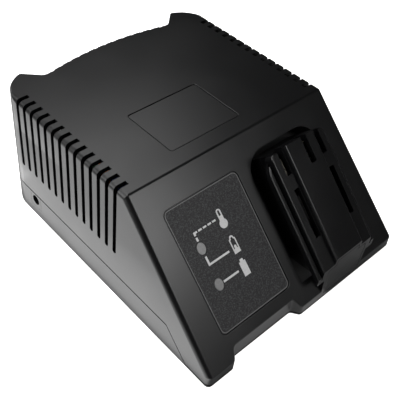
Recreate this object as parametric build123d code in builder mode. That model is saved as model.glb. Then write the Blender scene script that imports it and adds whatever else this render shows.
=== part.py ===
"""Power tool battery charger: a wedge-shaped housing with a sloping slide-on battery dock.

The frame: X to the right, Y from front to back, Z up. The origin is the middle of the
bounding box at the level of the feet's soles. Lengths are millimetres.
"""

import math
import os

from build123d import *

os.makedirs("parts", exist_ok=True)

# Housing, outside
width_bottom = 151.2
width_top = 142.0
depth = 186.6
height = 78.0  # of the shell, without the feet
rim_height = 7.6  # where the slope meets the front face
crease_depth = 70.2  # from the front face back to the crease
foot_stand = 2.0  # how far the rubber feet stand out below the shell
edge_round = 1.2  # front and rear edges of the top and the slope
side_round = 3.0  # straight side edges of the top and the slope
crease_round = 2.0
bottom_round = 0.6

# Housing outline in plan
front_corner = 3.5
rear_corner = 21.0
toe_width = 18.0  # of the left toe
dock_toe_reach = 33.4  # from the rail's middle to the left end of its toe
label_setback = 4.9  # the front face between the two toes lies this far back
toe_run = 2.6
dock_toe_run = 3.2
toe_round = 2.5
ear_width = 15.0
ear_slant = 10.4  # from the ear's tip across to the rear wall
ear_fall = 5.8  # the ear's outer end lies this far in front of its tip
ear_round = 1.8
sliver = 0.01  # shorter edges are dropped from an inset outline
rear_dip = 4.4  # middle of the rear wall, in front of the ears' tips
rear_bow = 180.0  # radius of the rear wall
rear_stub = 8.0  # straight run at each end of the rear wall
rear_hollow = 5.0

# Housing, walls and seam
wall = 2.5
floor_thick = 2.5
seam_height = 17.4
seam_front_height = 1.6
seam_step_front = 17.2
seam_step_back = 33.9
seam_gap = 0.8
tongue_height = 2.6
tongue_inset = 1.4
tongue_play = 0.2

# Vent slots
vent_pitch = 6.7
vent_width = 2.8
vent_bottom = 33.1
vent_reach = 7.2  # how far a slot runs in over the top
vent_setback = 22.1  # rearmost side slot, in front of the ears' tips
vent_front_gap = 5.0  # least distance of a side slot behind the crease
rear_vent_drop = 4.0  # top of a rear slot, below the top
rear_notch = 1.2  # depth of the groove from a rear slot up to the edge
floor_vents = 8
floor_vent_pitch = 8.0
floor_vent_length = 34.0
floor_vent_width = 3.0
over = 1.0  # how far a cut runs past the face it opens

# Slide-on battery rail, measured across the slope and square to it
dock_inset = 44.2  # from the side of the top to the rail's middle
rail_top = 16.2
plateau_half = 10.8
plateau_start = 15.8  # down the slope from the crease
plateau_lean = 0.6
flange_half = 20.4
flange_height = 13.6
flange_start = 17.0
lip_half = 23.9
lip_top = 10.9
lip_under = 7.4
lip_start = 18.5
lip_lead = 12.0  # length of the curved lead-in
lip_lead_half = 18.8
lip_round = 0.6
flange_round = 0.6
plateau_round = 0.8
groove_width = 1.1
groove_depth = 1.6
web_half_top = 18.2
web_half = 17.3
rail_wall = 2.3
rail_roof = 2.6
slot_width = 3.6
slot_upper = (15.5, 30.6)  # open at the flange's upper end
slot_lower = (38.8, 67.4)
left_slot_x = -13.8
right_slot_x = 14.6
centre_slot_x = 2.8
centre_slot_width = 4.0
centre_slot_end = 31.2
flange_corner = 2.5
hollow_half = 8.6
rail_shoulder = 0.3  # ledge behind the end cap
slot_floor = 8.6
rail_post = 3.2
rail_post_s = (44.0, 72.0)
rail_screw_length = 9.0
post_merge = 0.5  # how far a post runs into the roof

# Pocket round the rail
pocket_half = 26.9
pocket_start = 12.4
pocket_front_gap = 11.4  # from the pocket's end down to the front face
pocket_depth = 12.0
pocket_ramp = 11.0
pocket_corner = 14.0
pocket_wall = 2.2
hatch_half = 14.2
hatch_start = 21.0
hatch_end = 35.5

# Contacts under the rail
blade_names = ("contact_positive", "contact_sense", "contact_negative")
blade_x = (-13.1, 2.8, 12.6)
blade_tops = (10.6, 12.9, 10.6)  # highest points, out of the slope
blade_thick = 0.8
blade_length = 9.0
blade_mid_s = 26.0
blade_tail = 5.0
blade_play = 0.15
blade_shoulder = 1.0
blade_clearance = 1.0  # between the wide part and the pocket's floor
tower_width = 2.8
tower_wall = 1.6
tower_height = 14.0
carrier_half = 14.5
carrier_s0, carrier_s1 = 19.8, 38.6
carrier_plate = 2.0

# End cap of the rail
cap_half = 15.2
cap_half_mid = 16.6
cap_plateau_half = 9.3
cap_inset = 1.3
cap_knee = 1.0  # the side leans in by this much above the knee
cap_thick = 2.0
cap_play = 0.25
cap_round = 0.3

# Labels and status windows
label_inset = 13.6  # from the side of the top
label_gap = 7.1  # from the pocket
label_s0 = 15.5
label_front_gap = 13.8
label_corner = 3.5
label_recess = 0.6
label_film = 0.3
label_lip = 0.25  # rounding of the recesses' rims
label_play = 0.5
plate_middle = -8.45
plate_width, plate_length = 48.7, 37.0
plate_setback = 10.8  # behind the crease
plate_corner = 2.0
window_inset = 11.4  # from the label's left edge
window_s = (41.3, 61.9)
window_wide, window_long = 5.3, 6.6
lens_play = 0.15
lens_flange = 1.3  # how far the flange stands out
lens_flange_thick = 1.2
lens_round = 0.3
led_diameter = 5.0
led_rim = 5.8
led_rim_thick = 1.0
led_dome = 2.1

# Status board, square to the slope normal
status_board_half = 7.0
status_board_s0, status_board_s1 = 29.0, 74.2
status_board_drop = 12.0  # top face, below the outer face of the slope
board_thick = 1.6
status_post = 2.6
status_post_s = (33.4, 69.8)

# Feet and fasteners
foot_diameter = 14.0
foot_recess = 1.2
foot_play = 0.3
foot_round = 0.6
foot_inset = 19.0
foot_front = 18.0
foot_setback = 35.6
post_inset = 12.5
post_front = 38.0
post_setback = 18.1
post_radius = 4.6
case_head = 7.0
case_head_thick = 2.4
case_shank = 3.6
case_screw_length = 24.0
case_counterbore = 5.0
screw_play = 0.3
cross_width = 1.0
small_head = 5.4
small_head_thick = 1.8
small_shank = 2.4
pilot_depth = 6.0
pilot_spare = 1.0  # a pilot hole is this much deeper than its screw

# Main circuit board
board_inset = 23.0
board_setback = 21.6
board_length = 84.0
board_height = 9.0  # underside, above the shell's bottom
board_hole_inset = 6.0
boss_radius = 3.4
lead_gap = 0.3

# Power inlet on the left side
inlet_gap = 5.15  # between the socket and the rear case post
inlet_height = 12.6
inlet_width = 10.5
inlet_bottom = 7.0
inlet_hole = 6.5
inlet_play = 0.15
jack_width = 9.0
jack_tall = 11.0
jack_long = 14.0
jack_bore = 6.3
jack_bore_depth = 10.5
jack_gap = 0.3
pin_diameter = 2.1
pin_foot = 5.0
pin_foot_thick = 1.0
pin_round = 0.85

wire_radius = 0.8
wire_stub = 3.0
wire_drop = 7.0  # straight run below the contacts
wire_rise = 9.0  # straight run above a header
wire_sweep = 0.45  # part of a run that one bend may use
tab_long = 4.0
tab_wide = 2.0
tab_thick = 0.6
tab_spread = 2.6  # of each tab from the middle

# Parts on the main board: middle as x and distance from the board's front edge
sink_x, sink_d = 20.0, 59.5
sink_width = 52.0
sink_plate = 3.0
sink_height = 28.0
fin_count = 9
fin_pitch = 6.2
fin_thick = 1.4
fin_depth = 12.0
package_x = (8.0, 32.0)
package_lift = 4.0
package_width = 10.0
tab_plate = 1.3
tab_height = 16.0
package_body = 4.5
package_body_height = 9.0
package_hole_height = 13.0  # above the package's lower edge
leg_pitch = 2.5
leg_width = 0.8
leg_thick = 0.5
coil_x, coil_d = -22.0, 58.5
core_outer, core_inner = 12.5, 6.5
core_height = 9.0
coil_turns = 18
coil_wire = 1.0
coil_play = 0.3
input_can = (-40.0, 32.0, 16.0, 25.0)  # x, distance, diameter, height
output_cans = ((28.0, 27.0, 12.5, 21.0), (43.0, 27.0, 12.5, 21.0))
can_round = 1.0
relay_box = (-1.0, 38.0, 19.0, 15.5, 15.8)  # x, distance, width, depth, height
film_boxes = ((-22.0, 26.0, 13.0, 5.0, 10.5), (-22.0, 35.0, 13.0, 5.0, 10.5))
power_resistor_box = (34.0, 44.0, 22.0, 8.0, 8.0)
chip_boxes = (
    (16.0, 12.0, 3.2, 1.6, 0.8),
    (16.0, 17.0, 3.2, 1.6, 0.8),
    (16.0, 22.0, 3.2, 1.6, 0.8),
    (-16.0, 17.0, 3.2, 1.6, 0.8),
    (-16.0, 21.0, 3.2, 1.6, 0.8),
    (12.0, 30.0, 1.6, 3.2, 0.8),
)
ic_x, ic_d = 0.0, 20.0
ic_length, ic_width, ic_thick = 19.4, 6.4, 3.4
ic_lift = 0.6
ic_pins = 8
ic_pin_pitch = 2.4
fuse_x, fuse_d = -6.0, 7.0
fuse_length = 20.0
fuse_diameter = 5.0
fuse_cap_length = 4.5
fuse_lift = 4.2  # axis above the board
clip_wall = 0.5
input_header_box = (-42.0, 70.0, 8.0, 9.0, 9.0)
output_header_box = (28.0, 10.0, 17.0, 8.0, 9.0)
output_pin_step = 5.0
status_header_box = (-33.0, 9.0, 10.0, 6.0, 8.0)
status_pin_step = 2.8
header_round = 0.5
clip_mouth = 4.0

# Worked out from the above
front = -depth / 2
draft = (width_bottom - width_top) / 2 / height
slope_angle = math.atan2(height - rim_height, crease_depth)
slope_cos = math.cos(slope_angle)
slope_sin = math.sin(slope_angle)
crease_y = front + crease_depth
top_z = foot_stand + height
slope_length = crease_depth / slope_cos
rear_wall_half = width_top / 2 - ear_width - ear_slant
dock_x = width_top / 2 - dock_inset
dock_toe_start = dock_x - dock_toe_reach
pocket_end = slope_length - pocket_front_gap
vent_last = depth - vent_setback
side_vents = 1 + int((vent_last - crease_depth - vent_front_gap) / vent_pitch)
rear_vents = 1 + 2 * int(rear_wall_half / vent_pitch)
label_x0 = label_inset - width_top / 2
label_x1 = dock_x - pocket_half - label_gap
label_s1 = slope_length - label_front_gap
plate_x0, plate_x1 = plate_middle - plate_width / 2, plate_middle + plate_width / 2
plate_d0 = crease_depth + plate_setback
plate_d1 = plate_d0 + plate_length
window_x = label_x0 + window_inset
foot_x = width_bottom / 2 - foot_inset
foot_depths = (foot_front, depth - foot_setback)
post_x = width_bottom / 2 - post_inset
post_depths = (post_front, depth - post_setback)
board_x = width_bottom / 2 - board_inset
board_d1 = depth - board_setback
board_d0 = board_d1 - board_length
inlet_depth = post_depths[1] - post_radius - jack_width / 2 - inlet_gap
board_top = board_height + board_thick
post_spots = [(x, front + d) for d in post_depths for x in (-post_x, post_x)]
foot_spots = [(x, front + d) for d in foot_depths for x in (-foot_x, foot_x)]
board_holes = [
    (x, front + d)
    for d in (board_d0 + board_hole_inset, board_d1 - board_hole_inset)
    for x in (board_hole_inset - board_x, board_x - board_hole_inset)
]
side_at_inlet = width_bottom / 2 - draft * (inlet_height - jack_tall / 2)
jack_mid_x = -(side_at_inlet - wall - jack_gap - draft * jack_tall) + jack_long / 2
jack_rear = jack_mid_x + jack_long / 2
inlet_reach = wall + 1.2
cap_bottom = seam_front_height + tongue_height + tongue_play + cap_play
rail_length = slope_length + 2 * rail_top


def level(h):
    """Height in the frame of a point h above the shell's bottom."""
    return foot_stand + h


def back(d):
    """Y of a point d behind the front face."""
    return front + d


def on_board(d):
    """Y of a point d behind the main board's front edge."""
    return back(board_d0 + d)


def on_slope(x, s, h):
    """Frame point at x, s down the slope from the crease and h out of it."""
    y = crease_y - s * slope_cos - h * slope_sin
    return (x, y, top_z - s * slope_sin + h * slope_cos)


def slope_plane(h):
    """Plane parallel to the slope, h out of it; its Y runs up the slope."""
    return Plane(origin=on_slope(0, 0, h), x_dir=(1, 0, 0), z_dir=(0, -slope_sin, slope_cos))


def across_plane(s):
    """Plane square to the slope, s down from the crease; its Y points out of the slope."""
    return Plane(origin=on_slope(0, s, 0), x_dir=(1, 0, 0), z_dir=(0, -slope_cos, -slope_sin))


def profile_plane(x):
    """Upright plane at x whose X runs down the slope and whose Y points out of it."""
    return Plane(
        origin=on_slope(x, 0, 0),
        x_dir=(0, -slope_cos, -slope_sin),
        z_dir=(-1, 0, 0),
    )


def housing_outline(half):
    """Plan of the housing for one half width, as one closed line."""
    middle = back(depth - rear_dip)
    ear_x = half - ear_width
    wall_x = ear_x - ear_slant
    toe_end = toe_width - half
    stub_x = wall_x - rear_stub
    turn = math.asin(stub_x / rear_bow)
    stub_y = middle - rear_bow * (1 - math.cos(turn))
    hollow_y = stub_y - rear_stub * math.tan(turn)
    tip = back(depth)
    inner = front + label_setback
    FilletPolyline(
        (-stub_x, stub_y),
        (-wall_x, hollow_y),
        (-ear_x, tip),
        (-half, tip - ear_fall),
        (-half, front),
        radius=[rear_hollow, ear_round, rear_corner],
    )
    FilletPolyline(
        (-half, front),
        (toe_end, front),
        (toe_end + toe_run, inner),
        (dock_toe_start - dock_toe_run, inner),
        (dock_toe_start, front),
        (half, front),
        radius=toe_round,
    )
    FilletPolyline(
        (half, front),
        (half, tip - ear_fall),
        (ear_x, tip),
        (wall_x, hollow_y),
        (stub_x, stub_y),
        radius=[rear_corner, ear_round, rear_hollow],
    )
    ThreePointArc((stub_x, stub_y), (0, middle), (-stub_x, stub_y))


def housing_form(inset, floor):
    """Solid wedge of the housing, drawn in by inset, with its underside at floor."""
    spare = 5.0
    top = height - inset
    drop = inset / slope_cos
    run = slope_sin / slope_cos
    with BuildPart() as form:
        for h in (0, height + spare):
            with BuildSketch(Plane.XY.offset(level(h))):
                with BuildLine():
                    housing_outline(width_bottom / 2 - draft * h)
                make_face()
                if inset:
                    offset(amount=-inset, min_edge_length=sliver)
        loft()
        with BuildSketch(Plane.YZ):
            with BuildLine():
                Polyline(
                    (back((floor - rim_height + drop) / run), level(floor)),
                    (back((top - rim_height + drop) / run), level(top)),
                    (back(depth + spare), level(top)),
                    (back(depth + spare), level(floor)),
                    close=True,
                )
            make_face()
        extrude(amount=width_bottom, both=True, mode=Mode.INTERSECT)
    return form.part


def seam_region(shift):
    """Everything below the seam, moved up by shift."""
    spare = 20.0
    with BuildPart() as region:
        with BuildSketch(Plane.YZ):
            with BuildLine():
                Polyline(
                    (back(-spare), level(seam_front_height + shift)),
                    (back(seam_step_front), level(seam_front_height + shift)),
                    (back(seam_step_back), level(seam_height + shift)),
                    (back(depth + spare), level(seam_height + shift)),
                    (back(depth + spare), -spare),
                    (back(-spare), -spare),
                    close=True,
                )
            make_face()
        extrude(amount=width_bottom, both=True)
    return region.part


def pocket_form(grow):
    """The pocket round the rail, with grow added on every side but the open one."""
    lid = 0.0 if grow else over
    bottom = pocket_depth + grow
    reach = pocket_ramp / pocket_depth
    lower_end = pocket_end + grow * math.hypot(1, reach)
    half = pocket_half + grow
    start = pocket_start - grow
    with BuildPart() as pocket:
        with BuildSketch(slope_plane(-bottom)) as plan:
            with Locations((dock_x, -(start + lower_end + lid * reach) / 2)):
                Rectangle(2 * half, lower_end + lid * reach - start)
            fillet(plan.vertices().group_by(Axis.Y)[-1], pocket_corner + grow)
        extrude(amount=bottom + lid)
        with BuildSketch(profile_plane(dock_x + half)):
            with BuildLine():
                Polyline(
                    (start, lid),
                    (start, -bottom),
                    (lower_end - bottom * reach, -bottom),
                    (lower_end + lid * reach, lid),
                    close=True,
                )
            make_face()
        extrude(amount=2 * half, mode=Mode.INTERSECT)
    return pocket.part


def cap_outline(play):
    """Outline of the rail's end cap on the front face, drawn in by play."""
    lift = 1 / slope_cos
    half = cap_half - play
    mid = cap_half_mid - play
    top = cap_plateau_half - play
    mid_z = level(rim_height + (flange_height - cap_inset) * lift) - play
    top_z_cap = level(rim_height + (rail_top - cap_inset) * lift) - play
    knee_z = level(rim_height + lip_top * lift)
    Polyline(
        (dock_x - half, level(cap_bottom) + play),
        (dock_x - mid, knee_z),
        (dock_x - mid + cap_knee, mid_z),
        (dock_x - top - plateau_lean, mid_z),
        (dock_x - top, top_z_cap),
        (dock_x + top, top_z_cap),
        (dock_x + top + plateau_lean, mid_z),
        (dock_x + mid - cap_knee, mid_z),
        (dock_x + mid, knee_z),
        (dock_x + half, level(cap_bottom) + play),
        close=True,
    )


def rim_edges(part):
    """Edges all round the top and the slope, without the crease between them."""
    found = []
    for edge in part.edges():
        mid = edge @ 0.5
        slope_z = level(rim_height) + (mid.Y - front) * slope_sin / slope_cos
        on_top = abs(mid.Z - top_z) < 0.01
        on_face = abs(mid.Z - slope_z) < 0.01
        if on_top != on_face:
            found.append(edge)
    return found


def round_cutter(start, along, face, side, radius):
    """What the rounding of a straight edge takes off, in a loose block.

    The edge runs from a point near start in the direction along; face and side are the
    outward normals of the two faces that meet in it.
    """
    spare = 3.0
    along, face, side = Vector(*along).normalized(), Vector(*face), Vector(*side)
    plane = Plane(origin=start, x_dir=along.cross(face), z_dir=along)
    turn = math.radians(face.get_angle(side))
    reach = radius * math.tan(turn / 2)
    inward = 1 if plane.x_dir.dot(side) < 0 else -1
    up = 1 if plane.y_dir.dot(face) > 0 else -1
    touch_face = (inward * reach, 0)
    touch_side = (-inward * reach * math.cos(turn), -up * reach * math.sin(turn))
    with BuildPart() as cutter:
        with BuildSketch(plane):
            with BuildLine():
                Polyline(
                    touch_face,
                    (inward * reach, up * spare),
                    (-inward * spare, up * spare),
                    (-inward * spare, touch_side[1]),
                    touch_side,
                )
                TangentArc(touch_face, touch_side, tangent=(-inward, 0))
            make_face()
        extrude(amount=width_bottom + depth)
        extrude(cutter.faces().sort_by(Axis(start, tuple(along)))[0], amount=radius)
    return cutter.part


def recess_rim(part, middle, out):
    """Edges round the recess that lies in a flat face with middle over its floor."""
    face = part.faces().filter_by(GeomType.PLANE)
    face = [f for f in face if abs((f.center() - Vector(*middle)).dot(Vector(*out))) < 0.01]
    face = max((f for f in face if f.normal_at().dot(Vector(*out)) > 0.99), key=lambda f: f.area)
    wires = face.inner_wires()
    near = min(wires, key=lambda w: (w.bounding_box().center() - Vector(*middle)).length)
    return near.edges()


# Shared forms
slope_out = (0, -slope_sin, slope_cos)
out_of_slope = Axis((0, 0, 0), slope_out)
cavity_form = housing_form(wall, floor_thick)
corner_cutters = []
top_cutters = []
slope_cutters = []
for side in (-1, 1):
    lean = (side, 0, draft)
    base_corner = (side * width_bottom / 2, front, foot_stand)
    brow_corner = (side * width_top / 2, crease_y, top_z)
    rise = (-side * draft, 0, 1)
    descent = (side * draft * slope_sin, -slope_cos, -slope_sin)
    corner_cutters.append(round_cutter(base_corner, rise, (0, -1, 0), lean, front_corner))
    top_cutters.append(round_cutter(brow_corner, (0, 1, 0), (0, 0, 1), lean, side_round))
    slope_cutters.append(round_cutter(brow_corner, descent, slope_out, lean, side_round))
brow = (-width_bottom / 2, crease_y, top_z)
brow_cutter = round_cutter(brow, (1, 0, 0), (0, 0, 1), slope_out, crease_round)

with BuildPart() as outer_form:
    add(housing_form(0, 0))
    fillet(rim_edges(outer_form.part), edge_round)
    add(corner_cutters, mode=Mode.SUBTRACT)
    add(top_cutters, mode=Mode.SUBTRACT)
    add(slope_cutters, mode=Mode.SUBTRACT)
    add(brow_cutter, mode=Mode.SUBTRACT)

with BuildPart() as case_posts:
    with BuildSketch(Plane.XY.offset(level(seam_height))):
        for d in post_depths:
            with Locations((-post_x, back(d)), (post_x, back(d))):
                Circle(post_radius)
    extrude(amount=height)
    add(outer_form.part, mode=Mode.INTERSECT)

pocket_walls = pocket_form(pocket_wall) & outer_form.part

# Upper housing
with BuildPart() as upper_housing:
    add(outer_form.part)
    add(cavity_form, mode=Mode.SUBTRACT)
    add(seam_region(seam_gap / 2), mode=Mode.SUBTRACT)
    rebate = housing_form(tongue_inset - tongue_play, 0) & seam_region(tongue_height + tongue_play)
    add(rebate, mode=Mode.SUBTRACT)
    add(case_posts.part)
    add(pocket_walls)
    # posts behind the label for the status board
    with BuildSketch(slope_plane(-status_board_drop)):
        for s in status_post_s:
            with Locations((window_x, -s)):
                Circle(status_post)
    extrude(amount=status_board_drop - wall / 2)
    with BuildSketch(slope_plane(-status_board_drop)):
        for s in status_post_s:
            with Locations((window_x, -s)):
                Circle(small_shank / 2 + screw_play)
    extrude(amount=pilot_depth, mode=Mode.SUBTRACT)
    add(pocket_form(0), mode=Mode.SUBTRACT)
    # hatch under the rail for the terminals
    with BuildSketch(slope_plane(-pocket_depth - pocket_wall - over)):
        with Locations((dock_x, -(hatch_start + hatch_end) / 2)):
            Rectangle(2 * hatch_half, hatch_end - hatch_start)
    extrude(amount=pocket_wall + 2 * over, mode=Mode.SUBTRACT)
    # screw holes under the rail's posts
    with BuildSketch(slope_plane(-pocket_depth - pocket_wall - over)):
        for s in rail_post_s:
            with Locations((dock_x, -s)):
                Circle(small_shank / 2 + screw_play)
    extrude(amount=pocket_wall + 2 * over, mode=Mode.SUBTRACT)
    # seat of the rail's end cap
    with BuildSketch(Plane.XZ.offset(-front)):
        with BuildLine():
            cap_outline(0)
        make_face()
    extrude(amount=-cap_thick, mode=Mode.SUBTRACT)
    # label recesses
    with BuildSketch(slope_plane(-label_recess)):
        with Locations(((label_x0 + label_x1) / 2, -(label_s0 + label_s1) / 2)):
            RectangleRounded(label_x1 - label_x0, label_s1 - label_s0, label_corner)
    extrude(amount=2 * label_recess, mode=Mode.SUBTRACT)
    with BuildSketch(Plane.XY.offset(top_z - label_recess)):
        with Locations(((plate_x0 + plate_x1) / 2, back((plate_d0 + plate_d1) / 2))):
            RectangleRounded(plate_x1 - plate_x0, plate_d1 - plate_d0, plate_corner)
    extrude(amount=2 * label_recess, mode=Mode.SUBTRACT)
    label_mid = on_slope((label_x0 + label_x1) / 2, (label_s0 + label_s1) / 2, 0)
    plate_mid = ((plate_x0 + plate_x1) / 2, back((plate_d0 + plate_d1) / 2), top_z)
    fillet(recess_rim(upper_housing.part, label_mid, slope_out), label_lip)
    fillet(recess_rim(upper_housing.part, plate_mid, (0, 0, 1)), label_lip)
    # status windows
    with BuildSketch(slope_plane(-2 * wall)):
        for s in window_s:
            with Locations((window_x, -s)):
                Ellipse(window_wide / 2 + lens_play, window_long / 2 + lens_play)
    extrude(amount=3 * wall, mode=Mode.SUBTRACT)
    # side vents
    for side in (-1, 1):
        inner = width_top / 2 - vent_reach
        with BuildSketch(Plane.YZ.offset(side * inner)):
            for n in range(side_vents):
                with Locations((back(vent_last - n * vent_pitch), level(vent_bottom + height / 2))):
                    SlotOverall(height, vent_width, rotation=90)
        extrude(amount=side * width_bottom / 2, mode=Mode.SUBTRACT)
    # rear vents, each with a shallow groove up to the edge
    for n in range(rear_vents):
        x = (n - (rear_vents - 1) / 2) * vent_pitch
        rear = back(depth - rear_dip - rear_bow + math.sqrt(rear_bow**2 - x**2))
        tall = height - rear_vent_drop - vent_bottom
        with BuildSketch(Plane.XZ.offset(-rear + 2 * wall)):
            with Locations((x, level(vent_bottom + tall / 2))):
                SlotOverall(tall, vent_width, rotation=90)
        extrude(amount=-4 * wall, mode=Mode.SUBTRACT)
        with BuildSketch(Plane.XZ.offset(-rear + rear_notch)):
            with Locations((x, level(height - rear_vent_drop))):
                Rectangle(vent_width, 2 * rear_vent_drop)
        extrude(amount=-4 * wall, mode=Mode.SUBTRACT)
    # screw pilots in the case posts
    with BuildSketch(Plane.XY.offset(level(seam_height) - over)):
        for d in post_depths:
            with Locations((-post_x, back(d)), (post_x, back(d))):
                Circle(case_shank / 2 + screw_play)
    pilot = case_counterbore + case_screw_length + pilot_spare - seam_height
    extrude(amount=pilot + over, mode=Mode.SUBTRACT)
upper_housing.part.label = "upper_housing"
export_step(upper_housing.part, "parts/upper_housing.step")

# Base housing
with BuildPart() as base_housing:
    add(housing_form(0, 0))
    fillet(base_housing.faces().sort_by(Axis.Z)[0].edges(), bottom_round)
    add(corner_cutters, mode=Mode.SUBTRACT)
    add(seam_region(-seam_gap / 2), mode=Mode.INTERSECT)
    add(cavity_form, mode=Mode.SUBTRACT)
    tongue = (housing_form(tongue_inset, 0) - cavity_form) & (
        seam_region(tongue_height) - seam_region(-seam_gap)
    )
    add(tongue)
    # posts for the case screws and bosses for the circuit board
    with BuildSketch(Plane.XY.offset(foot_stand + floor_thick / 2)):
        for d in post_depths:
            with Locations((-post_x, back(d)), (post_x, back(d))):
                Circle(post_radius)
    extrude(amount=seam_height - floor_thick / 2)
    with BuildSketch(Plane.XY.offset(foot_stand + floor_thick / 2)):
        with Locations(*board_holes):
            Circle(boss_radius)
    extrude(amount=board_height - floor_thick / 2)
    # shelf under the inlet
    with BuildSketch(Plane.XY.offset(foot_stand + floor_thick / 2)):
        with Locations((jack_mid_x, back(inlet_depth))):
            Rectangle(jack_long, jack_width)
    extrude(amount=inlet_height - jack_tall / 2 - floor_thick / 2)
    # screw holes with counterbores
    with Locations(*[(x, y, foot_stand) for x, y in post_spots]):
        Cylinder(
            case_shank / 2 + screw_play,
            seam_height + over,
            align=(Align.CENTER, Align.CENTER, Align.MIN),
            mode=Mode.SUBTRACT,
        )
        Cylinder(
            case_head / 2 + screw_play,
            case_counterbore,
            align=(Align.CENTER, Align.CENTER, Align.MIN),
            mode=Mode.SUBTRACT,
        )
    with Locations(*[(x, y, level(board_height)) for x, y in board_holes]):
        Cylinder(
            small_shank / 2 + screw_play,
            pilot_depth,
            align=(Align.CENTER, Align.CENTER, Align.MAX),
            mode=Mode.SUBTRACT,
        )
    with Locations(*[(x, y, foot_stand) for x, y in foot_spots]):
        Cylinder(
            foot_diameter / 2 + foot_play,
            foot_recess,
            align=(Align.CENTER, Align.CENTER, Align.MIN),
            mode=Mode.SUBTRACT,
        )
    # vents through the floor
    with BuildSketch(Plane.XY.offset(foot_stand)):
        with Locations((0, on_board(board_length / 2))):
            with GridLocations(floor_vent_pitch, 1, floor_vents, 1):
                SlotOverall(floor_vent_length, floor_vent_width, rotation=90)
    extrude(amount=floor_thick, mode=Mode.SUBTRACT)
    # opening for the inlet
    with BuildSketch(Plane.YZ.offset(-width_bottom / 2)):
        with Locations((back(inlet_depth), level((inlet_bottom + seam_height) / 2))):
            Rectangle(inlet_width, seam_height - inlet_bottom)
    extrude(amount=inlet_reach, mode=Mode.SUBTRACT)
base_housing.part.label = "base_housing"
export_step(base_housing.part, "parts/base_housing.step")

# Plate that closes the inlet's opening, in the side's own plane
with BuildPart() as inlet_plate:
    add(housing_form(0, 0))
    add(cavity_form, mode=Mode.SUBTRACT)
    with BuildSketch(Plane.YZ.offset(-width_bottom / 2)):
        with Locations((back(inlet_depth), level((inlet_bottom + seam_height - seam_gap / 2) / 2))):
            Rectangle(
                inlet_width - 2 * inlet_play,
                seam_height - inlet_bottom - seam_gap / 2 - inlet_play,
            )
    extrude(amount=inlet_reach, mode=Mode.INTERSECT)
    with BuildSketch(Plane.YZ.offset(-width_bottom / 2)):
        with Locations((back(inlet_depth), level(inlet_height))):
            Circle(inlet_hole / 2)
    extrude(amount=2 * inlet_reach, mode=Mode.SUBTRACT)
inlet_plate.part.label = "inlet_plate"
export_step(inlet_plate.part, "parts/inlet_plate.step")

# Barrel socket behind the plate
with BuildPart() as inlet_socket:
    with Locations((jack_mid_x, back(inlet_depth), level(inlet_height))):
        Box(jack_long, jack_width, jack_tall)
    with BuildSketch(Plane.YZ.offset(jack_mid_x - jack_long / 2)):
        with Locations((back(inlet_depth), level(inlet_height))):
            Circle(jack_bore / 2)
    extrude(amount=jack_bore_depth, mode=Mode.SUBTRACT)
inlet_socket.part.label = "inlet_socket"
export_step(inlet_socket.part, "parts/inlet_socket.step")

with BuildPart() as inlet_pin:
    bore_end = jack_mid_x - jack_long / 2 + jack_bore_depth
    with BuildSketch(Plane.YZ.offset(bore_end)):
        with Locations((back(inlet_depth), level(inlet_height))):
            Circle(pin_foot / 2)
    extrude(amount=-pin_foot_thick)
    with BuildSketch(Plane.YZ.offset(bore_end)):
        with Locations((back(inlet_depth), level(inlet_height))):
            Circle(pin_diameter / 2)
    extrude(amount=-jack_bore_depth)
    fillet(inlet_pin.edges().sort_by(Axis.X)[0], pin_round)
inlet_pin.part.label = "inlet_pin"
export_step(inlet_pin.part, "parts/inlet_pin.step")

# Battery rail
with BuildPart() as web_foot:
    add(pocket_form(0))
    with BuildSketch(across_plane(flange_start)):
        with Locations((dock_x, -pocket_depth / 2)):
            Rectangle(2 * web_half, pocket_depth)
    extrude(amount=rail_length, mode=Mode.INTERSECT)

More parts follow.
